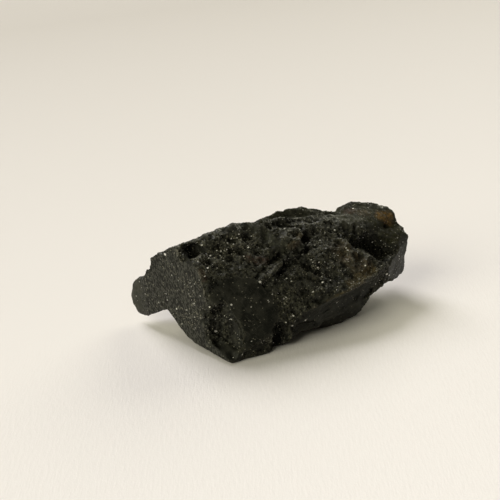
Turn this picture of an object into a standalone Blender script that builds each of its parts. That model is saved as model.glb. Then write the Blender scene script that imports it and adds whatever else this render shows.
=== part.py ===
"""A broken lump of black tektite, the natural glass of a meteorite strike, lying on its flattest side.

Lengths in the tables are millimetres, in the frame of the stone as it lies: X runs along it from its flat
broken end, Y to its back and Z up from the ground. Hulls of corner points give the main lumps, ellipsoids
add swellings and cut hollows, and the joined form is remeshed, roughened and settled on the ground.
"""

from math import cos, radians, sin, tan

import bmesh
import bpy
from mathutils import Matrix, Vector, noise

MM = 0.001
END_BEARING = 106.6  # degrees from +X to the line along which the flat broken end runs
END_LEAN = 6.1  # degrees that the broken end leans back
END_FOOT = Vector((-24.11, -5.0, 0.0))  # where the plane of the broken end meets the ground, at its front
VOXEL = 0.45  # the grid that joins the lumps
TRIANGLES = 9400

BULGE_SIZE, BULGE_HEIGHT = 6.0, 0.45  # the broad waves of the skin
DIMPLE_SIZE, DIMPLE_DEPTH = 2.7, 1.45  # the cupped pits that cover it, with sharp ridges between them
WARP_SIZE, WARP = 3.5, 1.3  # how the pits are pulled out of round
KNOT = 0.3  # how far a hollow or swelling is out of round, as a share of its radius
SKIN_PLACE = Vector((3.7, 11.2, 5.1))  # which stretch of the endless noise the skin is cut from
WARP_SEED = 4


def on_end(along, height, set_back=0.0):
    """The point this far along the broken end from its foot, at this height and this deep under its plane."""
    bearing = radians(END_BEARING)
    inward = height * tan(radians(END_LEAN)) + set_back
    return END_FOOT + Vector((
        along * cos(bearing) + inward * sin(bearing),
        along * sin(bearing) - inward * cos(bearing),
        height,
    ))


def end_points(outline):
    return [on_end(*point) for point in outline]


END_KEEL = [(10.2, 5.3), (8.4, 4.3), (6.7, 2.7), (5.1, 1.9), (3.2, 1.3), (0.1, 1.1), (-3.0, 0.8),
            (-5.4, 0.8)]
END_RIDGE = [(0.0, 3.0), (0.5, 6.6), (1.0, 9.2), (1.6, 11.8), (3.1, 14.7), (4.7, 15.7), (7.5, 16.7)]
END_CREST = [(8.6, 18.0), (10.5, 17.1), (12.7, 15.6), (14.5, 14.4), (15.5, 13.8), (15.5, 11.7)]
TAB_TIP = [(20.7, 6.2, 0.9), (20.9, 4.2, 0.9), (20.4, 2.8, 0.9), (18.7, 1.8, 0.8), (17.8, 1.5, 0.7),
           (16.2, 1.7, 0.4)]
TAB_ROOT = [(15.5, 11.7), (17.4, 9.1, 0.2), (14.8, 7.7), (14.0, 3.1), (12.0, 4.2), (10.2, 5.3), (8.3, 9.7)]

LUMPS = {
    "main_block": end_points(END_KEEL + END_RIDGE + END_CREST) + [
        (-21.2, -9.6, -0.4), (-13.6, -9.9, 0.1), (-10.8, -9.9, 0.5), (-9.0, -8.9, 3.5), (-5.2, -9.6, 6.3),
        (3.0, -9.5, 7.6), (9.7, -8.0, 8.5), (13.9, -6.5, 8.8), (15.5, -5.3, 4.4), (20.6, -2.9, 4.4),
        (22.5, -1.2, 10.5), (22.2, 0.2, 12.9), (18.0, 5.0, 14.5),
        (-17.1, -3.2, 12.7), (-12.3, -4.8, 10.9),
        (-18.7, 3.5, 18.6), (-16.5, 4.2, 18.6), (-12.6, 4.5, 19.2), (-8.6, 4.5, 19.1), (-4.1, 4.5, 18.8),
        (-0.8, 4.3, 18.6), (-19.5, 12.0, 13.0), (-8.0, 12.5, 12.0), (9.0, 11.0, 12.0), (21.0, 6.0, 7.0),
        (-14.0, 9.5, 1.6), (-19.0, 9.0, 3.6), (4.0, 9.0, 1.2), (-17.0, -5.0, -0.1),
    ],
    "tab": end_points(TAB_TIP + TAB_ROOT) + [
        (-21.0, 13.0, 11.0), (-20.0, 12.5, 6.0), (-18.0, 8.0, 9.0), (-24.5, 15.0, 6.0), (-22.5, 13.5, 3.5),
    ],
    "belly": [
        (-8.0, -7.1, 1.2), (-3.6, -7.2, 0.6), (1.0, -6.9, -0.4), (5.2, -7.0, 0.3), (8.4, -6.7, 1.5),
        (10.0, -6.7, 3.5), (-7.0, -8.0, 6.0), (11.0, -6.0, 8.0), (-9.0, 9.0, -0.4), (8.0, 8.0, -0.4),
        (10.0, 4.0, 0.0), (-6.0, 10.0, 6.0),
    ],
    "back_ridge": [
        (-4.8, 8.0, 17.9), (1.0, 8.0, 18.3), (6.6, 8.0, 17.3), (10.6, 8.0, 16.2), (11.5, 11.5, 10.5),
        (-8.0, 9.0, 15.0), (-6.0, 13.0, 11.0), (0.0, 13.8, 8.5), (-9.0, 11.5, 6.0), (7.0, 11.5, 5.0),
        (-4.0, 4.0, 13.0), (8.0, 3.0, 12.0), (15.0, 5.0, 12.0), (-2.0, 9.0, 2.0),
    ],
    "far_knob": [
        (11.6, 7.4, 16.8), (15.3, 6.8, 17.5), (18.3, 5.5, 17.4), (20.5, 4.4, 16.4), (21.1, 2.8, 15.5),
        (21.4, 1.2, 14.3), (14.0, 0.0, 14.0), (12.0, 10.0, 12.0), (21.0, 6.0, 10.0), (11.0, 3.0, 12.0),
        (22.4, 0.4, 11.0),
    ],
}

# Each hollow or swelling is half sunk: its middle, the way its face looks, the way its long axis runs, and
# its half length, half width and depth or height.
HOLLOWS = {
    "far_end_bowl": ((13.8, -3.2, 12.2), (0.15, -0.62, 0.77), (0.9, 0.3, -0.2), (4.6, 3.2, 2.3)),
    "slope_scar": ((6.5, -2.2, 14.6), (0.1, -0.62, 0.78), (0.9, 0.35, 0.2), (8.5, 5.5, 1.2)),
    "ledge_cut": ((1.4, -2.0, 15.3), (0.35, -0.6, 0.72), (0.35, 0.6, 0.65), (4.8, 2.2, 1.5)),
    "toe_chip": ((-11.6, -9.7, 2.2), (0.07, -0.96, 0.1), (0.2, 0.0, 1.0), (3.2, 1.6, 1.3)),
    "toe_undercut": ((-6.4, -9.9, 1.0), (0.3, -0.7, -0.6), (1.0, 0.0, 0.4), (3.6, 1.9, 1.9)),
    "corner_pit": ((-22.6, 2.0, 17.6), (-0.05, -0.63, 0.77), (1.0, 0.0, 0.0), (1.8, 1.3, 1.3)),
    "sparkling_hollow": ((-22.3, -7.1, 6.3), (0.1, -1.0, 0.0), (0.0, 0.1, 1.0), (4.1, 2.9, 3.1)),
    "ridge_foot": ((-21.9, -8.6, 3.8), (0.2, -0.45, 0.87), (0.25, -0.85, -0.45), (3.6, 2.2, 2.3)),
    "saddle": ((4.5, 4.2, 18.4), (0.0, -0.3, 0.95), (1.0, 0.15, 0.0), (7.0, 2.2, 1.9)),
    "plate_shadow": ((-0.1, -0.9, 15.7), (0.4, -0.6, 0.7), (0.3, 0.6, 0.7), (2.0, 0.9, 1.1)),
    "step_foot": ((-4.0, -2.4, 14.7), (0.1, -0.7, 0.7), (0.75, 0.35, 0.5), (2.6, 0.9, 0.9)),
    "leaf_groove_left": ((-9.9, -3.7, 13.3), (-0.1, -0.75, 0.65), (0.75, 0.35, 0.5), (3.0, 0.5, 0.7)),
    "leaf_groove_right": ((-8.9, -5.2, 11.9), (0.1, -0.8, 0.6), (0.75, 0.35, 0.5), (3.0, 0.6, 0.8)),
    "knob_pit": ((19.2, 0.6, 14.0), (0.2, -0.7, 0.7), (1.0, 0.0, 0.0), (1.1, 0.8, 0.8)),
    "back_flake": ((-6.0, 12.6, 10.0), (-0.1, 0.95, 0.2), (1.0, 0.0, 0.3), (8.5, 4.5, 2.2)),
    "back_bowl": ((11.0, 10.0, 8.0), (0.3, 0.9, -0.2), (0.9, -0.3, 0.3), (5.0, 3.4, 1.8)),
    "top_cup": ((-16.0, 8.0, 17.5), (-0.2, 0.6, 0.75), (1.0, 0.2, 0.0), (4.0, 2.6, 1.2)),
    "far_end_flake": ((21.6, 2.6, 8.6), (0.97, 0.1, -0.15), (0.0, 0.5, 0.85), (4.0, 2.6, 1.1)),
    "under_hollow": ((-12.5, 0.5, 0.0), (0.0, 0.0, -1.0), (0.8, 0.5, 0.0), (5.5, 3.5, 1.4)),
}
SWELLINGS = {
    "leaf": ((-9.5, -4.6, 12.5), (0.0, -0.78, 0.63), (0.75, 0.35, 0.5), (2.7, 0.8, 0.45)),
    "plate": ((-2.8, -0.2, 16.0), (0.05, -0.66, 0.75), (0.3, 0.6, 0.7), (2.6, 2.0, 0.35)),
}

# The smooth breaks: the way each looks, the middle and radius of the place it takes up, and how much of the
# rough skin is left on it.
SMOOTH_BREAKS = {
    "broken_end": ((-0.95, -0.28, 0.11), (-25.5, 3.5, 9.0), 18.0, 0.05),
    "dark_facet": ((-0.05, -0.87, 0.48), (-16.0, -6.0, 6.5), 10.5, 0.20),
    "far_facet": ((0.53, -0.84, 0.08), (18.5, -3.5, 8.0), 5.5, 0.25),
    "belly_front": ((0.07, -1.0, -0.02), (2.0, -7.5, 3.0), 9.0, 0.40),
    "tab_bevel": ((-0.9, 0.25, 0.1), (-28.6, 13.5, 4.5), 4.5, 0.1),
}

# Where the skin is calm whichever way it looks: the middle and radius of the place, and how much roughness is left.
CALM_PLACES = {
    "tab_underside": ((-27.2, 8.0, 3.5), 6.5, 0.08),
    "keel": ((-25.8, 1.5, 3.0), 5.0, 0.15),
    "toe": ((-23.8, -6.0, 1.0), 5.5, 0.2),
}


def link(name, shape):
    mesh = bpy.data.meshes.new(name)
    shape.to_mesh(mesh)
    shape.free()
    solid = bpy.data.objects.new(name, mesh)
    bpy.context.scene.collection.objects.link(solid)
    return solid


def hull(name, corners):
    shape = bmesh.new()
    for corner in corners:
        shape.verts.new(Vector(corner) * MM)
    made = bmesh.ops.convex_hull(shape, input=shape.verts)
    bmesh.ops.delete(shape, geom=list(set(made["geom_interior"]) | set(made["geom_unused"])), context="VERTS")
    bmesh.ops.recalc_face_normals(shape, faces=shape.faces)
    return link(name, shape)


def ellipsoid(name, middle, facing, along, half_sizes):
    up = Vector(facing).normalized()
    side = up.cross(Vector(along)).normalized()
    turn = Matrix((side.cross(up), side, up)).transposed().to_4x4()
    size = Matrix.Diagonal(Vector(half_sizes) * MM).to_4x4()
    shape = bmesh.new()
    bmesh.ops.create_icosphere(shape, subdivisions=4, radius=1.0)
    for corner in shape.verts:
        corner.co *= 1.0 + KNOT * noise.noise(1.6 * corner.co + Vector(middle))
    bmesh.ops.transform(shape, matrix=Matrix.Translation(Vector(middle) * MM) @ turn @ size, verts=shape.verts)
    return link(name, shape)


def combine(stone, solid, operation):
    solid.hide_render = True
    solid.display_type = "WIRE"
    join = stone.modifiers.new(solid.name, "BOOLEAN")
    join.operation = operation
    join.object = solid


def bake(stone):
    """Takes what the modifiers make into the stone's own mesh."""
    bpy.context.view_layer.update()
    graph = bpy.context.evaluated_depsgraph_get()
    stone.data = bpy.data.meshes.new_from_object(stone.evaluated_get(graph))
    stone.modifiers.clear()


def smoothstep(low, high, value):
    part = min(1.0, max(0.0, (value - low) / (high - low)))
    return part * part * (3.0 - 2.0 * part)


def roughness(place, normal):
    """How much of the rough skin shows here, from 0 to 1."""
    rough = 1.0
    for facing, middle, radius, left in SMOOTH_BREAKS.values():
        square_on = smoothstep(0.86, 0.95, normal.dot(Vector(facing).normalized()))
        near = 1.0 - smoothstep(0.85, 1.0, (place - Vector(middle)).length / radius)
        rough = min(rough, 1.0 - (1.0 - left) * square_on * near)
    for middle, radius, left in CALM_PLACES.values():
        near = 1.0 - smoothstep(0.6, 1.0, (place - Vector(middle)).length / radius)
        rough = min(rough, 1.0 - (1.0 - left) * near)
    return rough


def relief(place):
    """How far the rough skin stands out here, in millimetres."""
    bulge = noise.noise(place / BULGE_SIZE + SKIN_PLACE)
    warped = place + noise.noise_vector(place / WARP_SIZE + SKIN_PLACE) * WARP
    nearest = noise.voronoi(warped / DIMPLE_SIZE + SKIN_PLACE)[0][0]
    depth = 0.6 + 0.9 * noise.noise(place / (1.3 * BULGE_SIZE) - SKIN_PLACE)
    return BULGE_HEIGHT * bulge + DIMPLE_DEPTH * max(0.2, depth) * (nearest - 0.5)


def roughen(stone):
    noise.seed_set(WARP_SEED)
    shape = bmesh.new()
    shape.from_mesh(stone.data)
    shape.normal_update()
    moves = []
    for corner in shape.verts:
        place = corner.co / MM
        moves.append(corner.normal * relief(place) * roughness(place, corner.normal) * MM)
    for corner, move in zip(shape.verts, moves):
        corner.co += move
    shape.to_mesh(stone.data)
    shape.free()


def thin_out(stone):
    triangles = 2 * len(stone.data.polygons)
    fewer = stone.modifiers.new("fewer_faces", "DECIMATE")
    fewer.ratio = TRIANGLES / triangles
    bake(stone)


def drop_crumbs(shape):
    """Keeps the largest body of the shape."""
    bodies, seen = [], set()
    for first in shape.verts:
        if first in seen:
            continue
        body, newest = {first}, [first]
        while newest:
            reached = {edge.other_vert(corner) for corner in newest for edge in corner.link_edges}
            newest = list(reached - body)
            body |= reached
        seen |= body
        bodies.append(body)
    largest = max(bodies, key=len)
    bmesh.ops.delete(shape, geom=[corner for corner in shape.verts if corner not in largest], context="VERTS")


def settle(stone):
    """Cuts the stone flat where it rests and centres it over the origin. Gives the move that centred it."""
    shape = bmesh.new()
    shape.from_mesh(stone.data)
    everything = shape.verts[:] + shape.edges[:] + shape.faces[:]
    cut = bmesh.ops.bisect_plane(shape, geom=everything, plane_co=(0, 0, 0), plane_no=(0, 0, 1), clear_inner=True)
    rim = [item for item in cut["geom_cut"] if isinstance(item, bmesh.types.BMEdge)]
    bmesh.ops.contextual_create(shape, geom=rim)
    drop_crumbs(shape)
    bmesh.ops.recalc_face_normals(shape, faces=shape.faces)
    low = Vector(min(v.co[axis] for v in shape.verts) for axis in range(3))
    high = Vector(max(v.co[axis] for v in shape.verts) for axis in range(3))
    move = Vector((-(low.x + high.x) / 2, -(low.y + high.y) / 2, -low.z))
    bmesh.ops.translate(shape, vec=move, verts=shape.verts)
    shape.to_mesh(stone.data)
    shape.free()
    return move


def black_glass():
    material = bpy.data.materials.new("black_glass")
    material.use_nodes = True
    shader = material.node_tree.nodes["Principled BSDF"]
    shader.inputs["Base Color"].default_value = (0.014, 0.014, 0.011, 1.0)
    shader.inputs["Roughness"].default_value = 0.45
    shader.inputs["Metallic"].default_value = 0.0
    return material


def main():
    for old in list(bpy.data.objects):
        bpy.data.objects.remove(old)
    lumps = [hull(name, corners) for name, corners in LUMPS.items()]
    stone = lumps[0]
    stone.name = "tektite"
    for lump in lumps[1:]:
        combine(stone, lump, "UNION")
    for name, measures in SWELLINGS.items():
        combine(stone, ellipsoid(name, *measures), "UNION")
    for name, measures in HOLLOWS.items():
        combine(stone, ellipsoid(name, *measures), "DIFFERENCE")
    grid = stone.modifiers.new("one_skin", "REMESH")
    grid.mode = "VOXEL"
    grid.voxel_size = VOXEL * MM
    bake(stone)
    roughen(stone)
    thin_out(stone)
    stone.data.materials.clear()
    stone.data.materials.append(black_glass())
    return settle(stone)


main()
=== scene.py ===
"""A broken lump of black tektite lying on a sheet of pale paper.

The plain solid is copied, its flat end is cut clean, and its skin is worn, scarred, chiselled, crumbled and
finished as the natural glass of a meteorite strike is. Sizes and places are millimetres in the frame of the
plain solid, from which X runs along the stone away from its flat broken end, Y to its back and Z up from
the paper.
"""

from math import cos, radians, sin

import bpy
import numpy as np
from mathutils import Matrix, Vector, noise
from mathutils.kdtree import KDTree


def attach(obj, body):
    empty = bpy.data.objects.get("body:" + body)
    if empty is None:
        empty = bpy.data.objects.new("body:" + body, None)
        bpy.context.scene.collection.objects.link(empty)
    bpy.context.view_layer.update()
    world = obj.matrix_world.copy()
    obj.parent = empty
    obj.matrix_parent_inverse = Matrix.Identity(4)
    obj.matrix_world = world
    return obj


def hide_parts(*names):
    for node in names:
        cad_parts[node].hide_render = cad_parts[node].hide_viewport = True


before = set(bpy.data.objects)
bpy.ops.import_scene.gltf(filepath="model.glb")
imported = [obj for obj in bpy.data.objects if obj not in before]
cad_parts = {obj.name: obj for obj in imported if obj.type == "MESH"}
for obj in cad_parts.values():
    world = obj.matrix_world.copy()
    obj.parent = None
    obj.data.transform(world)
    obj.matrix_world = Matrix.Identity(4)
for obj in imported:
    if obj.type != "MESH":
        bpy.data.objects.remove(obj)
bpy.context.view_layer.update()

MM = 0.001
STONE_NODE = "tektite"
SAME_POINT = 0.002  # loose corners closer than this are one corner
FINE_GRID = 0.16  # the grid of the fine skin
FACES = 192000  # how many triangles the stone keeps
FAINTEST = 0.004  # a weaker share than this isn't kept
WEAR, WEAR_ROUNDS = 0.5, 60  # how far each round of wear smooths the worn places, and how many rounds
FINE_ROUNDS, WIDE_ROUNDS = 10, 90  # how far around a corner its pit is looked for, closely and widely
RUBBLE_SIZE, RUBBLE_DEPTH = 1.3, 0.30  # the lumps of the crumbled hollows
CRUMB_SIZE, CRUMB_DEPTH = 1.1, 0.22  # the crumbs of the rough skin
GRIT_SIZE, GRIT_DEPTH = 0.45, 0.12  # the grit on the crumbs
COARSE_JAG, COARSE_PUSH = 1.3, 0.7  # the coarse noise that makes cuts jagged, and how far it pushes them
FINE_JAG, FINE_PUSH = 0.45, 0.22  # the same for the fine noise
JAGGED_SHARE = 0.3  # how much of that push a chiselled cut takes
PAPER_REACH = (0.1, 0.7)  # the rough skin fades between these heights, so that the stone lies on worn patches
FOOT_HEIGHTS, FOOT_DEPTHS = (0.9, 2.2), (1.5, 3.5)  # the worn foot at the back: it fades upwards and forwards

# The flat broken end: a point on it, and the way it looks.
BROKEN_END = ((-21.2, -7.67, 0.0), (-0.9529, -0.2841, 0.1063))

# Each smooth break: the way it looks, the middle and radius of its place, and how much rough skin is left.
SMOOTH_BREAKS = {
    "broken_end": ((-0.95, -0.28, 0.11), (-22.7, 0.8, 9.0), 18.0, 0.0),
    "dark_facet": ((-0.05, -0.87, 0.48), (-14.8, -8.6, 6.8), 7.2, 0.06),
    "far_facet": ((0.53, -0.84, 0.08), (21.3, -6.2, 8.0), 5.5, 0.15),
    "belly_front": ((0.07, -1.0, -0.02), (4.8, -10.2, 3.0), 9.0, 0.2),
    "tab_bevel": ((-0.9, 0.25, 0.1), (-25.8, 10.8, 4.5), 4.5, 0.1),
}

# Stretches where the rough skin is calmer: the path along the stretch, its half width, and how much is left.
CALM_STRETCHES = {
    "tab": ([(-26.0, 11.0, 4.5), (-24.3, 4.5, 5.0)], 5.0, 0.1),
    "keel": ([(-23.6, 2.0, 5.4), (-22.1, -4.7, 1.5), (-19.5, -13.3, 1.1)], 3.5, 0.2),
    "end_ridge": ([(-20.3, -3.1, 15.1), (-20.7, -6.7, 6.4), (-18.2, -11.7, 0.4)], 1.5, 0.4),
    "lower_ridge": ([(-4.6, -12.6, 4.4), (0.9, -12.2, 6.6), (9.6, -11.2, 7.5), (13.0, -10.7, 8.2)], 1.2, 0.4),
    "belly": ([(-3.1, -8.9, 1.0), (6.9, -7.9, 1.5)], 5.0, 0.25),
    "under_ridge": (
        [(-4.4, -12.7, 3.5), (1.3, -12.2, 4.9), (10.3, -10.1, 5.1), (13.9, -10.1, 6.2)], 2.0, 0.1),
    "back_ridge": ([(-10.0, 4.5, 19.0), (0.0, 6.0, 18.5), (8.0, 7.0, 17.5)], 6.0, 0.45),
    "far_knob": ([(14.2, 1.4, 15.9), (17.4, 1.1, 16.0), (21.9, -1.6, 13.9)], 5.0, 0.35),
    "grey_band": ([(-6.8, 0.9, 18.4), (-5.0, -0.6, 16.6), (-3.5, -3.4, 15.2)], 1.4, 0.4),
}

# Places whose sharp rims are worn down: the path along each, its half width and how worn it is.
WORN = {
    "hollow_floor": (
        [(-20.2, -7.0, 6.7), (-18.7, -7.2, 5.5), (-17.3, -8.4, 5.9), (-16.6, -10.0, 4.5)], 3.4, 1.0),
    "hollow_foot": ([(-20.0, -7.4, 3.6), (-18.2, -8.8, 3.0)], 2.4, 0.8),
    "leaf": ([(-9.8, -7.5, 11.8), (-6.5, -6.4, 12.9), (-4.2, -5.0, 13.4)], 2.0, 0.03),
}

# Broken hollows and bands that are crumbled all over: the path along each and its half width.
CRUMBLED = {
    "sparkling_hollow": ([(-19.6, -6.9, 7.4), (-18.6, -7.2, 5.6), (-19.0, -7.8, 3.6)], 2.9),
    "hollow_side": ([(-17.4, -8.2, 7.2), (-17.3, -8.8, 4.2)], 1.1),
    "block_corner": ([(-6.8, -12.1, 5.5), (-4.6, -12.4, 5.0), (-1.3, -11.8, 7.2)], 1.6),
}

# Cuts and swellings of the skin: the path, the half width and the depth. A swelling has a depth below 0.
CHISELLED = {
    "corner_pit": ([(-21.2, -0.3, 16.8), (-19.4, -0.2, 16.9)], 1.6, 0.8),
    "corner_pit_end": ([(-18.9, 0.4, 17.0), (-18.6, -0.6, 16.7)], 0.9, 0.6),
    "leaf": ([(-9.8, -7.5, 11.8), (-8.1, -6.7, 12.4), (-5.9, -5.9, 13.2), (-3.8, -4.9, 13.4)], 1.3, -0.2),
    "leaf_groove_left": (
        [(-10.5, -6.9, 12.3), (-8.7, -6.1, 12.9), (-6.7, -5.2, 13.5), (-3.8, -4.0, 13.7)], 0.45, 0.35),
    "leaf_groove_right": (
        [(-9.3, -8.1, 11.2), (-7.7, -8.1, 12.1), (-4.8, -6.6, 12.4), (-2.9, -5.5, 13.1)], 0.7, 0.5),
    "ledge_foot": ([(-3.9, -5.4, 13.0), (-2.5, -5.9, 12.9), (-0.7, -5.8, 13.4), (2.0, -4.6, 14.2)], 0.7, 0.7),
    "ledge_hole": ([(1.7, -3.8, 15.3), (3.2, -2.4, 15.6)], 1.1, 1.0),
    "plate": ([(-1.6, -4.1, 15.2), (0.1, -3.9, 15.9), (1.7, -3.0, 16.2)], 0.9, -0.3),
    "scar": ([(-1.1, -6.5, 12.8), (0.4, -7.4, 11.7), (1.9, -8.4, 10.9)], 1.1, 0.6),
    "valley": ([(-3.5, 0.1, 18.0), (-1.1, 0.5, 17.9), (0.6, -0.0, 17.3), (2.5, -0.7, 16.8)], 0.9, 0.5),
    "far_hollow": ([(14.1, -3.8, 12.6), (17.4, -3.9, 11.2), (19.9, -4.8, 10.4)], 2.2, 0.7),
    "far_hollow_deep": ([(18.3, -4.3, 10.0), (16.7, -6.9, 9.7)], 1.4, 0.7),
    "under_ridge": (
        [(-4.4, -12.7, 3.4), (1.3, -12.2, 4.7), (5.6, -11.3, 5.3), (10.3, -10.1, 5.6), (13.9, -10.1, 6.2)],
        2.2, 1.0),
    "knob_pit": ([(21.5, -2.1, 13.6), (22.1, -2.2, 13.2)], 0.8, 0.6),
    "knob_groove": ([(14.1, -1.8, 15.0), (13.8, -2.9, 14.3)], 0.6, 0.5),
    "chip_notch": ([(-8.9, -10.8, 3.6), (-9.4, -11.6, 1.0)], 1.2, 0.5),
    "first_scallop": ([(12.1, -3.9, 12.8), (11.4, -5.6, 12.6), (12.0, -7.3, 11.3)], 0.5, 0.25),
    "second_scallop": ([(13.1, -3.8, 13.4), (12.6, -5.3, 12.6), (12.9, -7.0, 11.2)], 0.45, 0.25),
    "crest_pit": ([(-15.4, -1.2, 17.2), (-14.6, -1.4, 17.2)], 1.0, 0.6),
    "upper_slope_pit": ([(-12.7, -2.1, 16.0), (-11.5, -2.5, 16.0)], 1.0, 0.6),
    "grey_band_pit": ([(-8.9, -0.5, 17.4), (-8.0, -0.6, 17.4)], 1.0, 0.5),
    "end_rim_pit": ([(-18.6, -3.3, 15.7), (-17.6, -3.2, 15.7)], 0.8, 0.5),
}

# Scars of flakes broken off all over the rough skin: how many, their smallest and largest radius, their least
# and greatest depth for their radius, and how far they are drawn out along the flow of the glass.
FLAKE_SCARS = {
    "large_flakes": (420, 0.9, 3.0, 0.06, 0.14, 1.5),
    "small_flakes": (3600, 0.35, 0.85, 0.04, 0.13, 2.0),
}
FLOW = (0.3, -0.75, -0.58)
JAGGED_DRAW = 1  # which draw of the noise makes round cuts jagged; without it each run would draw another

# Where each colour lies on the skin: its paths, each with a half width.
PAINTED = {
    "rust": [([(21.1, -0.8, 15.1), (22.5, -1.3, 14.7)], 1.8)],
    "plum": [([(15.6, 2.5, 16.1), (16.2, 2.1, 16.1)], 1.1), ([(-10.2, -4.1, 14.8), (-7.4, -4.7, 14.0)], 1.2),
             ([(-20.2, -4.1, 14.4), (-19.9, -4.8, 13.4)], 0.7)],
    "tan": [([(-1.6, -4.1, 15.2), (1.7, -3.0, 16.2)], 1.0), ([(18.6, 0.4, 16.0), (17.4, 1.1, 16.0)], 1.2),
            ([(8.9, -5.9, 12.5), (10.9, -8.9, 10.0)], 3.0)],
    "gold": [([(7.1, -11.1, 8.5), (9.8, -10.4, 9.0), (12.8, -9.5, 9.1)], 1.4),
             ([(-2.8, -12.4, 5.8), (0.9, -12.2, 6.9), (3.8, -12.2, 7.7), (6.1, -12.1, 7.8),
               (9.6, -11.2, 8.0)], 0.35)],
    "olive": [([(14.2, 1.4, 15.9), (17.4, 1.1, 16.0), (21.9, -1.6, 13.9), (21.7, -3.5, 12.6)], 3.4)],
    "tab_tone": [([(-26.4, 11.4, 5.0), (-26.2, 10.2, 7.0), (-26.2, 10.0, 3.0)], 2.6)],
    "band": [([(-6.8, 0.9, 18.4), (-5.0, -0.6, 16.6), (-3.0, -3.4, 15.2)], 1.5),
             ([(-3.0, 5.0, 17.3), (4.2, 4.5, 17.4), (10.4, 4.3, 16.1), (13.6, 4.9, 15.7)], 1.8)],
    # These paths mark fresh, glossier glass with no skin, and painted shade under the lower ridge and in the
    # hollows.
    "fresh_glass_and_shade": [([(-3.9, -12.6, 4.1), (-2.4, -12.6, 4.6), (1.3, -12.2, 5.4), (5.6, -11.5, 5.9),
                (10.3, -10.3, 6.2)], 1.5),
              ([(15.4, -4.1, 11.8), (19.7, -4.9, 10.4), (16.7, -6.9, 9.7)], 2.6),
              ([(-21.1, -0.3, 16.8), (-19.5, -0.0, 17.0)], 1.8),
              ([(-3.0, -4.6, 13.8), (0.8, -4.5, 15.1), (3.5, -2.0, 15.6)], 1.2),
              ([(-1.0, -5.6, 13.7), (3.0, -8.6, 10.5), (2.5, -10.5, 9.0)], 1.5),
              ([(-9.3, -8.1, 11.2), (-4.8, -6.6, 12.4), (-2.9, -5.5, 13.1)], 1.0),
              ([(-8.1, -10.8, 3.8), (-8.5, -11.3, 0.8)], 1.6),
              ([(-20.3, -7.8, 4.9), (-19.0, -7.8, 6.8)], 1.8),
              ([(-20.2, -5.8, 12.0), (-18.2, -6.0, 12.2), (-16.2, -6.8, 11.6)], 1.3),
              ([(-17.0, -8.6, 7.4), (-16.9, -9.4, 4.4)], 1.3)],
    "crusted": [([(-18.8, -2.9, 15.9), (-13.2, -2.2, 16.5), (-9.6, -1.6, 17.0)], 3.2)],
    # Where the pale grains gather: dust, and painted glints.
    "speckled": [([(-10.2, -2.1, 16.2), (-7.8, -2.2, 15.9), (-5.4, -2.0, 15.8)], 1.0),
                 ([(-9.3, -9.4, 8.6), (-6.4, -10.4, 8.0)], 1.2),
                 ([(-20.0, -8.0, 4.9), (-19.0, -7.8, 8.0)], 2.0),
                 ([(7.1, -11.1, 8.5), (12.8, -9.5, 9.1)], 1.8),
                 ([(-22.0, -3.3, 5.9), (-22.2, -1.0, 11.0)], 3.0),
                 ([(-18.8, -2.9, 15.9), (-13.2, -2.2, 16.5), (-9.6, -1.6, 17.0)], 2.4),
                 ([(0.4, -7.4, 11.7), (5.3, -9.0, 10.5)], 2.5),
                 ([(-9.5, -7.8, 11.5), (-6.2, -7.4, 12.8)], 0.8),
                 ([(-19.8, -7.0, 4.9), (-18.7, -7.3, 3.6)], 0.9),
                 ([(-18.0, -7.0, 7.6), (-17.3, -8.1, 6.4)], 0.9)],
    "worn_edge": [([(-20.6, -4.3, 14.7), (-20.5, -5.8, 11.8), (-20.7, -6.5, 9.2)], 0.35),
                  ([(-22.0, 1.0, 16.8), (-21.9, -0.1, 15.2)], 0.35),
                  ([(-8.2, -11.0, 4.0), (-9.4, -10.9, 3.1), (-10.8, -12.4, 2.9), (-11.0, -12.4, 1.1)], 0.3)],
}

# Each pale chip, which is also a painted glint: where it lies and its radius.
PALE_CHIPS_AND_GLINTS = {
    "crest_chip_and_glint": ((-22.9, 3.9, 15.4), 0.22),
    "broken_end_chip_and_glint": ((-22.8, 0.2, 6.2), 0.20),
    "hollow_chip_and_glint": ((-18.9, -6.9, 3.9), 0.28),
    "facet_chip_and_glint": ((-16.5, -8.3, 9.0), 0.18),
    "leaf_foot_chip_and_glint": ((-10.3, -7.7, 11.6), 0.24),
    "leaf_top_chip_and_glint": ((-3.3, -4.8, 13.2), 0.18),
    "ledge_chip_and_glint": ((0.6, -4.6, 13.1), 0.22),
    "lower_corner_chip_and_glint": ((-5.9, -11.8, 5.6), 0.18),
}

CAMERA_AIM = (-11.64, -6.5, 17.61)
CAMERA_DISTANCE = 205.0
CAMERA_AZIMUTH, CAMERA_ELEVATION = -31.0, 24.0
LENS, SENSOR = 85.0, 36.0


# ---------------------------------------------------------------- bench work

def pick_only(piece):
    bpy.ops.object.select_all(action="DESELECT")
    piece.select_set(True)
    bpy.context.view_layer.objects.active = piece


def smoothstep(low, high, value):
    part = np.clip((value - low) / (high - low), 0.0, 1.0)
    return part * part * (3.0 - 2.0 * part)


def read_skin(piece, what, size=3):
    """The places or normals of all corners, as rows of numbers."""
    numbers = np.zeros(len(piece.data.vertices) * size, np.float32)
    if what == "place":
        piece.data.vertices.foreach_get("co", numbers)
        return numbers.reshape(-1, size) / MM
    piece.data.vertex_normals.foreach_get("vector", numbers)
    return numbers.reshape(-1, size)


def from_path(places, path):
    """How far each place is from a path of straight stretches."""
    nearest = np.full(len(places), np.inf)
    for start, end in zip(path, path[1:]):
        start, run = np.array(start), np.array(end) - np.array(start)
        share = np.clip((places - start) @ run / (run @ run), 0.0, 1.0)
        nearest = np.minimum(nearest, np.linalg.norm(places - start - share[:, None] * run, axis=1))
    return nearest


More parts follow.
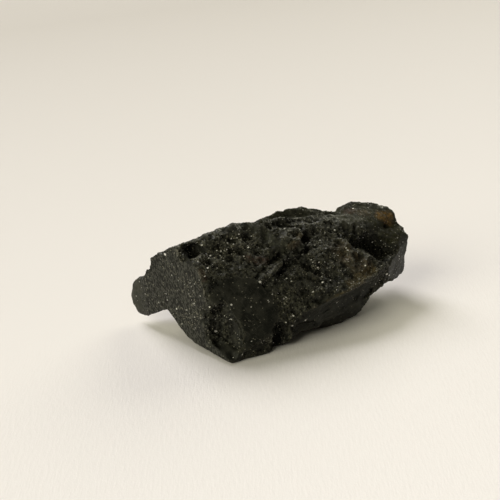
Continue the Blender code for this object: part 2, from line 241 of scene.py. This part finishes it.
def ragged(places, reach, near, size, amount):
    """The reach of each place nearer than near, made uneven by noise."""
    for row in np.flatnonzero(reach < near):
        reach[row] *= 1.0 + amount * noise.noise(Vector(places[row]) / size)
    return reach


def weigh(piece, name, weights):
    """Adds a vertex group with these weights."""
    group = piece.vertex_groups.new(name=name)
    for row in np.flatnonzero(weights > FAINTEST):
        group.add([int(row)], float(weights[row]), "REPLACE")
    return group


def paint(piece, name, shares):
    """Keeps a number for each corner, which the finish reads by this name."""
    layer = piece.data.attributes.new(name, "FLOAT", "POINT")
    layer.data.foreach_set("value", np.asarray(shares, np.float32))


def carve(piece, name, depths):
    """Sinks each corner along its normal by its depth in millimetres; a depth below 0 is a swelling."""
    deepest = float(np.abs(depths).max())
    for way, part in ((-1.0, np.maximum(depths, 0.0)), (1.0, np.maximum(-depths, 0.0))):
        if part.max() > 0.0:
            weigh(piece, name, part / deepest)
            pick_only(piece)
            cut = piece.modifiers.new(name, "DISPLACE")
            cut.strength = way * deepest * MM
            cut.mid_level = 0.0
            cut.vertex_group = name
            bpy.ops.object.modifier_apply(modifier=cut.name)
            piece.vertex_groups.remove(piece.vertex_groups[name])


def chisel(piece, name, places, path, half_width, depth):
    """Cuts a hollow with a round bottom and a sharp rim along a path, or raises a swelling."""
    reach = from_path(places, path) / half_width
    carve(piece, name, depth * np.clip(1.0 - reach * reach, 0.0, 1.0))


def jagged(places):
    """The places pushed about by coarse and fine noise, so that a round cut made in them comes out jagged."""
    noise.seed_set(JAGGED_DRAW)
    coarse = np.array([noise.noise_vector(Vector(place) / COARSE_JAG) for place in places])
    fine = np.array([noise.noise_vector(Vector(place) / FINE_JAG) for place in places])
    return places + COARSE_PUSH * coarse + FINE_PUSH * fine


def flake_scars(places, seed, how_many, smallest, largest, shallow, steep, drawn):
    """How deep each corner lies in the round-bottomed scars of flakes that broke off all over the skin."""
    tree = KDTree(len(places))
    for row, place in enumerate(places):
        tree.insert(place, row)
    tree.balance()
    flow = np.array(Vector(FLOW).normalized())
    chance = np.random.default_rng(seed)
    depths = np.zeros(len(places))
    for middle in chance.integers(len(places), size=how_many):
        radius = smallest + (largest - smallest) * chance.random() ** 2
        depth = radius * chance.uniform(shallow, steep)
        near = np.array([row for _, row, _ in tree.find_range(places[middle], radius * drawn)])
        away = places[near] - places[middle]
        reach = (away * away).sum(axis=1) - (1.0 - drawn ** -2) * (away @ flow) ** 2
        depths[near] = np.maximum(depths[near], depth * (1.0 - reach / radius ** 2))
    return depths


def emboss(piece, texture, depth, group=""):
    """Pushes the skin out and in along its normals by a texture."""
    pick_only(piece)
    push = piece.modifiers.new(texture.name, "DISPLACE")
    push.texture = texture
    push.strength = depth * MM
    push.mid_level = 0.5
    push.vertex_group = group
    bpy.ops.object.modifier_apply(modifier=push.name)


def relief_texture(name, kind, size, **settings):
    texture = bpy.data.textures.new(name, kind)
    texture.noise_scale = size * MM
    for setting, value in settings.items():
        setattr(texture, setting, value)
    return texture


# ---------------------------------------------------------------- the stone's shape

def copy_of_solid():
    """A copy of the plain solid, its loose triangles joined at their corners."""
    stone = bpy.data.objects.new("black_glass_lump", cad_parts[STONE_NODE].data.copy())
    bpy.context.scene.collection.objects.link(stone)
    pick_only(stone)
    bpy.ops.object.mode_set(mode="EDIT")
    bpy.ops.mesh.select_all(action="SELECT")
    bpy.ops.mesh.remove_doubles(threshold=SAME_POINT * MM)
    bpy.ops.object.mode_set(mode="OBJECT")
    return stone


def cut_broken_end(stone):
    place, facing = BROKEN_END
    pick_only(stone)
    bpy.ops.object.mode_set(mode="EDIT")
    bpy.ops.mesh.select_all(action="SELECT")
    bpy.ops.mesh.bisect(
        plane_co=Vector(place) * MM, plane_no=facing, use_fill=True, clear_outer=True, clear_inner=False)
    bpy.ops.object.mode_set(mode="OBJECT")


def refine(stone):
    pick_only(stone)
    grid = stone.modifiers.new("fine_grid", "REMESH")
    grid.mode = "VOXEL"
    grid.voxel_size = FINE_GRID * MM
    bpy.ops.object.modifier_apply(modifier=grid.name)


def along_path(places, path, half_width):
    """1 at the path, 0 past its half width and a smooth fall between them."""
    return 1.0 - smoothstep(0.5, 1.0, from_path(places, path) / half_width)


def wear_down(stone):
    """Rounds the worn places, and the foot at the back, where the stone turns in under itself."""
    places = read_skin(stone, "place")
    worn = (1.0 - smoothstep(*FOOT_HEIGHTS, places[:, 2])) * smoothstep(*FOOT_DEPTHS, places[:, 1])
    for path, half_width, share in WORN.values():
        worn = np.maximum(worn, share * along_path(places, path, half_width))
    weigh(stone, "worn", worn)
    pick_only(stone)
    wear = stone.modifiers.new("wear", "SMOOTH")
    wear.factor = WEAR
    wear.iterations = WEAR_ROUNDS
    wear.vertex_group = "worn"
    bpy.ops.object.modifier_apply(modifier=wear.name)


def rough_share(piece):
    """How much of the rough skin shows at each corner, from 0 to 1."""
    places, normals = read_skin(piece, "place"), read_skin(piece, "normal")
    rough = np.ones(len(places))
    for facing, middle, radius, left in SMOOTH_BREAKS.values():
        square_on = smoothstep(0.84, 0.93, normals @ np.array(Vector(facing).normalized()))
        near = 1.0 - smoothstep(0.85, 1.0, np.linalg.norm(places - np.array(middle), axis=1) / radius)
        rough = np.minimum(rough, 1.0 - (1.0 - left) * square_on * near)
    for path, half_width, left in CALM_STRETCHES.values():
        rough *= 1.0 - (1.0 - left) * along_path(places, path, half_width)
    return rough * smoothstep(*PAPER_REACH, places[:, 2])


def crumbled_share(piece):
    """How crumbled each corner is, from 0 to 1."""
    places = read_skin(piece, "place")
    crumbled = np.zeros(len(places))
    for path, half_width in CRUMBLED.values():
        crumbled = np.maximum(crumbled, along_path(places, path, half_width))
    return crumbled * smoothstep(*PAPER_REACH, places[:, 2])


def thin_out(stone):
    triangles = sum(len(face.vertices) - 2 for face in stone.data.polygons)
    if triangles > FACES:
        pick_only(stone)
        fewer = stone.modifiers.new("fewer_faces", "DECIMATE")
        fewer.ratio = FACES / triangles
        bpy.ops.object.modifier_apply(modifier=fewer.name)


def rest_on_paper(stone):
    for corner in stone.data.vertices:
        corner.co.z = max(corner.co.z, 0.0)


def make_stone():
    stone = copy_of_solid()
    cut_broken_end(stone)
    refine(stone)
    wear_down(stone)
    shaken = jagged(read_skin(stone, "place"))
    for seed, (name, scars) in enumerate(FLAKE_SCARS.items()):
        carve(stone, name, flake_scars(shaken, seed, *scars) * rough_share(stone))
    for name, (path, half_width, depth) in CHISELLED.items():
        places = (1.0 - JAGGED_SHARE) * read_skin(stone, "place") + JAGGED_SHARE * shaken
        chisel(stone, name, places, path, half_width, depth)
    weigh(stone, "crumbled", crumbled_share(stone))
    rubble = relief_texture("rubble", "MUSGRAVE", RUBBLE_SIZE, noise_basis="VORONOI_F2_F1",
        musgrave_type="RIDGED_MULTIFRACTAL", octaves=3.0, dimension_max=0.7, lacunarity=2.3)
    emboss(stone, rubble, RUBBLE_DEPTH, "crumbled")
    weigh(stone, "rough_skin", np.maximum(rough_share(stone), crumbled_share(stone)))
    crumbs = relief_texture("crumbs", "MUSGRAVE", CRUMB_SIZE, noise_basis="VORONOI_F1",
        musgrave_type="FBM", octaves=3.0, dimension_max=0.8, lacunarity=2.2)
    emboss(stone, crumbs, CRUMB_DEPTH, "rough_skin")
    emboss(stone, relief_texture("grit", "VORONOI", GRIT_SIZE), GRIT_DEPTH, "rough_skin")
    thin_out(stone)
    rest_on_paper(stone)
    paint_stone(stone)
    pick_only(stone)
    bpy.ops.object.shade_smooth()
    return stone


def sunk_below(piece, rounds):
    """How far each corner lies below the skin around it in millimetres. More rounds look wider around."""
    places, normals = read_skin(piece, "place"), read_skin(piece, "normal")
    ends = np.zeros(len(piece.data.edges) * 2, np.int32)
    piece.data.edges.foreach_get("vertices", ends)
    one, other = ends[::2], ends[1::2]
    number = np.bincount(ends, minlength=len(places))
    eased = places.astype(float)
    for _ in range(rounds):
        for axis in range(3):
            line = eased[:, axis]
            around = np.bincount(one, line[other], len(places)) + np.bincount(other, line[one], len(places))
            eased[:, axis] = 0.4 * line + 0.6 * around / number
    return ((eased - places) * normals).sum(axis=1)


def paint_stone(stone):
    places = read_skin(stone, "place")
    paint(stone, "weathered", np.maximum(rough_share(stone), 0.7 * crumbled_share(stone)))
    paint(stone, "sunk_fine", sunk_below(stone, FINE_ROUNDS))
    paint(stone, "sunk_wide", sunk_below(stone, WIDE_ROUNDS))
    place, facing = BROKEN_END
    sunk = (np.array(place) - places) @ np.array(facing)
    paint(stone, "end_face", 1.0 - smoothstep(0.02, 0.25, sunk))
    for name, stretches in PAINTED.items():
        shares = np.zeros(len(places))
        for path, half_width in stretches:
            reach = ragged(places, from_path(places, path), 1.5 * half_width, 1.2, 0.4)
            shares = np.maximum(shares, 1.0 - smoothstep(0.4, 1.0, reach / half_width))
        paint(stone, name, shares)


# ---------------------------------------------------------------- finishes

class Wire:
    """A number that varies over the surface: a node's socket that can be added, multiplied and compared."""

    def __init__(self, finish, socket):
        self.finish = finish
        self.socket = socket

    def maths(self, operation, *values):
        inputs = dict(enumerate(values))
        return self.finish.node("ShaderNodeMath", {"operation": operation}, inputs)

    def __add__(self, other):
        return self.maths("ADD", self, other)

    def __radd__(self, other):
        return self.maths("ADD", other, self)

    def __sub__(self, other):
        return self.maths("SUBTRACT", self, other)

    def __rsub__(self, other):
        return self.maths("SUBTRACT", other, self)

    def __mul__(self, other):
        return self.maths("MULTIPLY", self, other)

    def __rmul__(self, other):
        return self.maths("MULTIPLY", other, self)

    def __gt__(self, other):
        return self.maths("GREATER_THAN", self, other)

    def __lt__(self, other):
        return self.maths("LESS_THAN", self, other)

    def __pow__(self, other):
        return self.maths("POWER", self, other)


class Finish:
    """A material and its nodes."""

    def __init__(self, name):
        self.material = bpy.data.materials.new(name)
        self.material.use_nodes = True
        self.tree = self.material.node_tree
        self.shader = self.tree.nodes["Principled BSDF"]

    def node(self, kind, settings=None, inputs=None, output=0):
        made = self.tree.nodes.new(kind)
        for name, value in (settings or {}).items():
            setattr(made, name, value)
        for name, value in (inputs or {}).items():
            self.feed(made.inputs[name], value)
        return Wire(self, made.outputs[output])

    def feed(self, socket, value):
        if isinstance(value, Wire):
            self.tree.links.new(value.socket, socket)
        else:
            socket.default_value = value

    def millimetres(self, stretch=(1.0, 1.0, 1.0), turn=(0.0, 0.0, 0.0)):
        """The place in millimetres, turned and then drawn out along each axis by a stretch."""
        place = self.node("ShaderNodeTexCoord", output="Object")
        scale = tuple(1.0 / (MM * draw) for draw in stretch)
        turned = self.node("ShaderNodeMapping", {}, {"Vector": place, "Rotation": turn})
        return self.node("ShaderNodeMapping", {}, {"Vector": turned, "Scale": scale})

    def noise(self, place, size, detail=2.0, roughness=0.5, output=0):
        return self.node("ShaderNodeTexNoise", {}, {
            "Vector": place, "Scale": 1.0 / size, "Detail": detail, "Roughness": roughness}, output)

    def grains(self, place, size, output):
        """Grains of about this size: how far the nearest grain's middle is, or its random colour."""
        return self.node("ShaderNodeTexVoronoi", {}, {"Vector": place, "Scale": 1.0 / size}, output)

    def painted(self, name):
        return self.node("ShaderNodeAttribute", {"attribute_name": name}, output="Fac")

    def between(self, value, low, high):
        """0 below low, 1 above high and a smooth rise between them."""
        return self.node("ShaderNodeMapRange", {"interpolation_type": "SMOOTHSTEP"}, {
            "Value": value, "From Min": low, "From Max": high})

    def blend(self, share, first, second):
        """A mix of two colours."""
        return self.node("ShaderNodeMix", {"data_type": "RGBA"}, {0: share, 6: first, 7: second}, output=2)

    def part(self, vector, axis):
        return self.node("ShaderNodeSeparateXYZ", {}, {0: vector}, output=axis)

    def vectors(self, operation, *values):
        return self.node("ShaderNodeVectorMath", {"operation": operation}, dict(enumerate(values)))


DEEP_SHADE = (0.0055, 0.0055, 0.0038, 1.0)
BLACK_GLASS = (0.0072, 0.0076, 0.0062, 1.0)
SMOKY_GLASS = (0.0260, 0.0260, 0.0205, 1.0)
WEATHERED_SKIN = (0.063, 0.060, 0.0395, 1.0)
CRUSTED_SKIN = (0.115, 0.110, 0.076, 1.0)
WORN_CREST = (0.070, 0.067, 0.047, 1.0)
END_DARK = (0.0065, 0.0065, 0.0050, 1.0)
END_PALE = (0.053, 0.053, 0.044, 1.0)
SCRATCH = (0.045, 0.045, 0.036, 1.0)
FAINT_DUST = (0.19, 0.18, 0.14, 1.0)
PALE_DUST_AND_GLINTS = (0.85, 0.83, 0.76, 1.0)
STAINS = {
    "olive": (0.026, 0.0255, 0.0100, 1.0),
    "tab_tone": (0.038, 0.038, 0.024, 1.0),
    "band": (0.042, 0.043, 0.029, 1.0),
    "tan": (0.066, 0.050, 0.029, 1.0),
    "plum": (0.048, 0.027, 0.019, 1.0),
    "rust": (0.165, 0.092, 0.026, 1.0),
    "gold": (0.092, 0.070, 0.033, 1.0),
}
SHEEN, SHEEN_TINT = 0.21, (0.98, 0.99, 0.90, 1.0)
SMALL_GRAIN, LARGE_GRAIN, FLAKE = 0.28, 0.38, 0.26  # the pale grains, the larger of which are also painted glints, and the flakes of skin that glint
GLASS_BUMP = 0.10  # how high the finest roughness of the glass looks


def pale_chips_and_glints(glass, place):
    """1 on each pale chip and painted glint and 0 elsewhere. Their edges are uneven."""
    uneven = 0.25 * glass.noise(place, 0.2)
    chip_and_glint_share = 0.0
    for middle, radius in PALE_CHIPS_AND_GLINTS.values():
        away = glass.node(
            "ShaderNodeVectorMath", {"operation": "DISTANCE"}, {0: place, 1: middle}, output="Value")
        chip_and_glint_share = chip_and_glint_share + (away + uneven < radius + 0.12)
    return chip_and_glint_share


def glass_finish():
    glass = Finish("black_tektite_glass")
    glass.shader.inputs["Specular IOR Level"].default_value = SHEEN
    glass.shader.inputs["Specular Tint"].default_value = SHEEN_TINT
    place = glass.millimetres()
    weathered = glass.painted("weathered")
    # Fresh glass, and painted shade under the lower ridge and in the hollows.
    fresh_glass_and_shade = glass.painted("fresh_glass_and_shade")
    on_end = glass.painted("end_face")
    sunk_fine = glass.painted("sunk_fine")
    sunk_wide = glass.painted("sunk_wide")

    cloudy = glass.between(glass.noise(place, 1.9, 6.0, 0.6), 0.40, 0.62)
    colour = glass.blend(cloudy, BLACK_GLASS, SMOKY_GLASS)
    mottled = glass.between(glass.noise(place, 0.32, 3.0, 0.7), 0.47, 0.60)
    clouds = glass.between(glass.noise(place, 1.7, 3.0), 0.36, 0.64)
    skin_share = weathered * mottled * (0.3 + 0.7 * clouds) * (1.0 - 0.8 * fresh_glass_and_shade)
    skin = glass.blend(glass.painted("crusted"), WEATHERED_SKIN, CRUSTED_SKIN)
    colour = glass.blend(skin_share, colour, skin)
    crest = glass.between(0.0 - sunk_fine, 0.010, 0.055) * weathered * (0.25 + 0.75 * clouds)
    colour = glass.blend(crest * (1.0 - 0.6 * fresh_glass_and_shade) * 0.35, colour, WORN_CREST)
    # Painted shade: corners sunk below the skin around them, and the fresh glass paths under the lower ridge
    # and in the hollows, are darkened, except on the broken end.
    pit = glass.between(sunk_fine, 0.018, 0.08) * 0.6 + glass.between(sunk_wide, 0.05, 0.30) * 0.5 \
        + fresh_glass_and_shade * 0.35
    colour = glass.blend(glass.between(pit, 0.0, 1.0) * (1.0 - on_end) * 0.85, colour, DEEP_SHADE)

    lines = glass.millimetres((0.12, 0.12, 6.0), (0.5, 0.6, 0.0))
    other_lines = glass.millimetres((6.0, 0.10, 0.10), (0.3, 0.35, 0.2))
    scratch = glass.between(glass.noise(lines, 1.0, 0.0), 0.66, 0.72) \
        + glass.between(glass.noise(other_lines, 1.0, 0.0), 0.68, 0.74)
    colour = glass.blend(scratch * (1.0 - weathered) * (1.0 - on_end) * 0.6, colour, SCRATCH)

    rows = glass.millimetres((1.0, 0.8, 1.7), (0.6, 0.0, 0.0))
    end_grain = glass.between(glass.noise(rows, 0.36, 2.0, 0.6), 0.46, 0.60)
    colour = glass.blend(on_end, colour, glass.blend(end_grain, END_DARK, END_PALE))

    patchy = glass.between(glass.noise(place, 0.7, 5.0, 0.7), 0.42, 0.62)
    for name, stain in STAINS.items():
        colour = glass.blend(glass.painted(name) * (0.25 + 0.75 * patchy) * 0.85, colour, stain)

    # The pale grains are dust, and the larger ones also stand in as painted glints of light.
    speckled = glass.painted("speckled")
    dust_and_glint_density = 0.28 * weathered + 0.2 * on_end + 0.8 * speckled
    drifts = glass.between(glass.noise(place, 2.2, 2.0), 0.38, 0.62)
    small_grain = glass.grains(place, SMALL_GRAIN, "Distance")
    small_luck = glass.part(glass.grains(place, SMALL_GRAIN, "Color"), "X")
    faint = (small_grain < 0.40) * (small_luck > 0.965 - 0.35 * dust_and_glint_density * (0.3 + 0.7 * drifts))
    colour = glass.blend(faint * 0.8, colour, FAINT_DUST)
    drawn = glass.millimetres((1.5, 1.0, 1.0), (0.0, 0.2, 0.1))
    grain = glass.grains(drawn, LARGE_GRAIN, "Distance")
    chances = glass.grains(drawn, LARGE_GRAIN, "Color")
    luck = glass.part(chances, "X")
    brightness = glass.part(chances, "Y") ** 1.2
    dust_and_glints = (grain < 0.22 + 0.17 * brightness) * (luck > 0.982 - 0.24 * dust_and_glint_density * (0.2 + 0.8 * drifts))
    dust_and_glints = dust_and_glints * (1.0 - 0.55 * on_end) * (1.0 - 0.8 * glass.painted("tab_tone"))
    colour = glass.blend(dust_and_glints * (0.12 + 0.88 * brightness), colour, PALE_DUST_AND_GLINTS)
    # Painted glints: each pale chip is also a bright spot of light.
    colour = glass.blend(pale_chips_and_glints(glass, place) * 0.65, colour, PALE_DUST_AND_GLINTS)
    colour = glass.blend(glass.painted("worn_edge") * patchy * 0.7, colour, FAINT_DUST)
    glass.feed(glass.shader.inputs["Base Color"], colour)

    flake = glass.grains(place, FLAKE, "Color")
    flake_luck = glass.part(flake, "Z")
    shiny = (flake_luck > 0.66) * (0.15 + 0.85 * weathered)
    dull = 0.22 * weathered + 0.18 * (glass.painted("band") + glass.painted("olive"))
    roughness = 0.40 + 0.22 * glass.noise(place, 0.8, 3.0) + dull - 0.12 * fresh_glass_and_shade - 0.50 * shiny
    glass.feed(glass.shader.inputs["Roughness"], roughness)

    tilt = glass.vectors("MULTIPLY", glass.vectors("SUBTRACT", flake, (0.5, 0.5, 0.5)),
        glass.node("ShaderNodeCombineXYZ", {}, {0: shiny * 1.3, 1: shiny * 1.3, 2: shiny * 1.3}))
    facing = glass.node("ShaderNodeNewGeometry", output="Normal")
    faceted = glass.vectors("NORMALIZE", glass.vectors("ADD", facing, tilt))
    relief = glass.noise(place, 0.22, 3.0, 0.6) * (0.25 + 0.75 * weathered) + 0.5 * on_end * end_grain
    bump = glass.node("ShaderNodeBump", {}, {
        "Height": relief, "Distance": GLASS_BUMP * MM, "Strength": 0.9, "Normal": faceted})
    glass.feed(glass.shader.inputs["Normal"], bump)
    return glass.material


PAPER_NEAR = (0.90, 0.87, 0.875, 1.0)
PAPER_FAR_IN_PAINTED_SHADE = (0.56, 0.53, 0.505, 1.0)
PAPER_FIBRE = (0.45, 0.42, 0.38, 1.0)
PAPER_SHADE_FALLOFF = (-60.0, 240.0)  # painted falloff of light: the near colour turns into the darker far one between these, from front to back
FIBRE_FADE = (-12.0, 30.0)  # the fibres fade out between these
FIBRE_TURN = 31.0  # degrees
FIBRE_BUMP = 0.10  # how high the fibres look


def paper_finish():
    paper = Finish("pale_paper")
    paper.shader.inputs["Roughness"].default_value = 0.9
    place = paper.millimetres()
    # Painted shade: the paper darkens towards the back, where the light falls off.
    depth = paper.node("ShaderNodeMapRange", {}, {
        "Value": paper.part(place, "Y"), "From Min": PAPER_SHADE_FALLOFF[0], "From Max": PAPER_SHADE_FALLOFF[1]})
    fibres = paper.millimetres((0.45, 2.6, 1.0), (0.0, 0.0, radians(FIBRE_TURN)))
    felted = paper.noise(fibres, 1.0, 3.0, 0.6) * 0.7 + paper.noise(place, 0.4, 3.0) * 0.3
    near_share = 1.0 - paper.between(paper.part(place, "Y"), *FIBRE_FADE)
    colour = paper.blend(depth, PAPER_NEAR, PAPER_FAR_IN_PAINTED_SHADE)
    speckled = paper.blend(paper.between(felted, 0.35, 0.65) * near_share * 0.035, colour, PAPER_FIBRE)
    paper.feed(paper.shader.inputs["Base Color"], speckled)
    bump = paper.node("ShaderNodeBump", {}, {
        "Height": felted * near_share, "Distance": FIBRE_BUMP * MM, "Strength": 0.6})
    paper.feed(paper.shader.inputs["Normal"], bump)
    return paper.material


# ---------------------------------------------------------------- the table, light and camera

def direction(azimuth, elevation):
    """The way from the stone at this azimuth and elevation. Azimuth 0 is straight in front."""
    across, rise = radians(azimuth), radians(elevation)
    return Vector((sin(across) * cos(rise), -cos(across) * cos(rise), sin(rise)))


def lay_paper():
    bpy.ops.mesh.primitive_plane_add(size=3.0, location=(0, 0, 0))
    paper = bpy.context.object
    paper.name = "paper"
    paper.data.materials.append(paper_finish())


def softbox(name, azimuth, elevation, distance, size, power, colour):
    lamp = bpy.data.lights.new(name, "AREA")
    lamp.shape = "DISK"
    lamp.size = size
    lamp.energy = power
    lamp.color = colour
    box = bpy.data.objects.new(name, lamp)
    bpy.context.scene.collection.objects.link(box)
    way = direction(azimuth, elevation)
    box.location = way * distance
    box.rotation_euler = way.to_track_quat("Z", "Y").to_euler()


DAYLIGHT = (1.0, 0.975, 0.965)
WALL_LIGHT = (1.0, 0.97, 0.77)

# Each softbox: its azimuth, elevation, its width and power as they would be a metre away, and its colour.
SOFTBOXES = {
    "window": (186.0, 42.0, 0.57, 8.5, DAYLIGHT),
    "wall_left": (277.0, 31.0, 0.80, 6.7, WALL_LIGHT),
    "wall_behind": (125.0, 22.0, 0.75, 5.3, WALL_LIGHT),
}
LAMP_DISTANCE = 3.0
ROOM_COLOUR = (0.048, 0.0455, 0.034, 1.0)


def set_lights():
    for name, (azimuth, elevation, width, power, colour) in SOFTBOXES.items():
        size, energy = width * LAMP_DISTANCE, power * LAMP_DISTANCE ** 2
        softbox(name, azimuth, elevation, LAMP_DISTANCE, size, energy, colour)
    world = bpy.data.worlds.new("room")
    bpy.context.scene.world = world
    world.use_nodes = True
    world.node_tree.nodes["Background"].inputs["Color"].default_value = ROOM_COLOUR
    bpy.context.scene.view_settings.view_transform = "Standard"


def set_camera():
    lens = bpy.data.cameras.new("camera")
    lens.lens = LENS
    lens.sensor_width = SENSOR
    lens.clip_start = 0.01
    camera = bpy.data.objects.new("camera", lens)
    bpy.context.scene.collection.objects.link(camera)
    back = direction(CAMERA_AZIMUTH, CAMERA_ELEVATION)
    camera.location = (Vector(CAMERA_AIM) + back * CAMERA_DISTANCE) * MM
    camera.rotation_euler = back.to_track_quat("Z", "Y").to_euler()
    bpy.context.scene.camera = camera


set_camera()
stone = make_stone()
stone.data.materials.clear()
stone.data.materials.append(glass_finish())
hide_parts(STONE_NODE)
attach(stone, "root")
lay_paper()
set_lights()
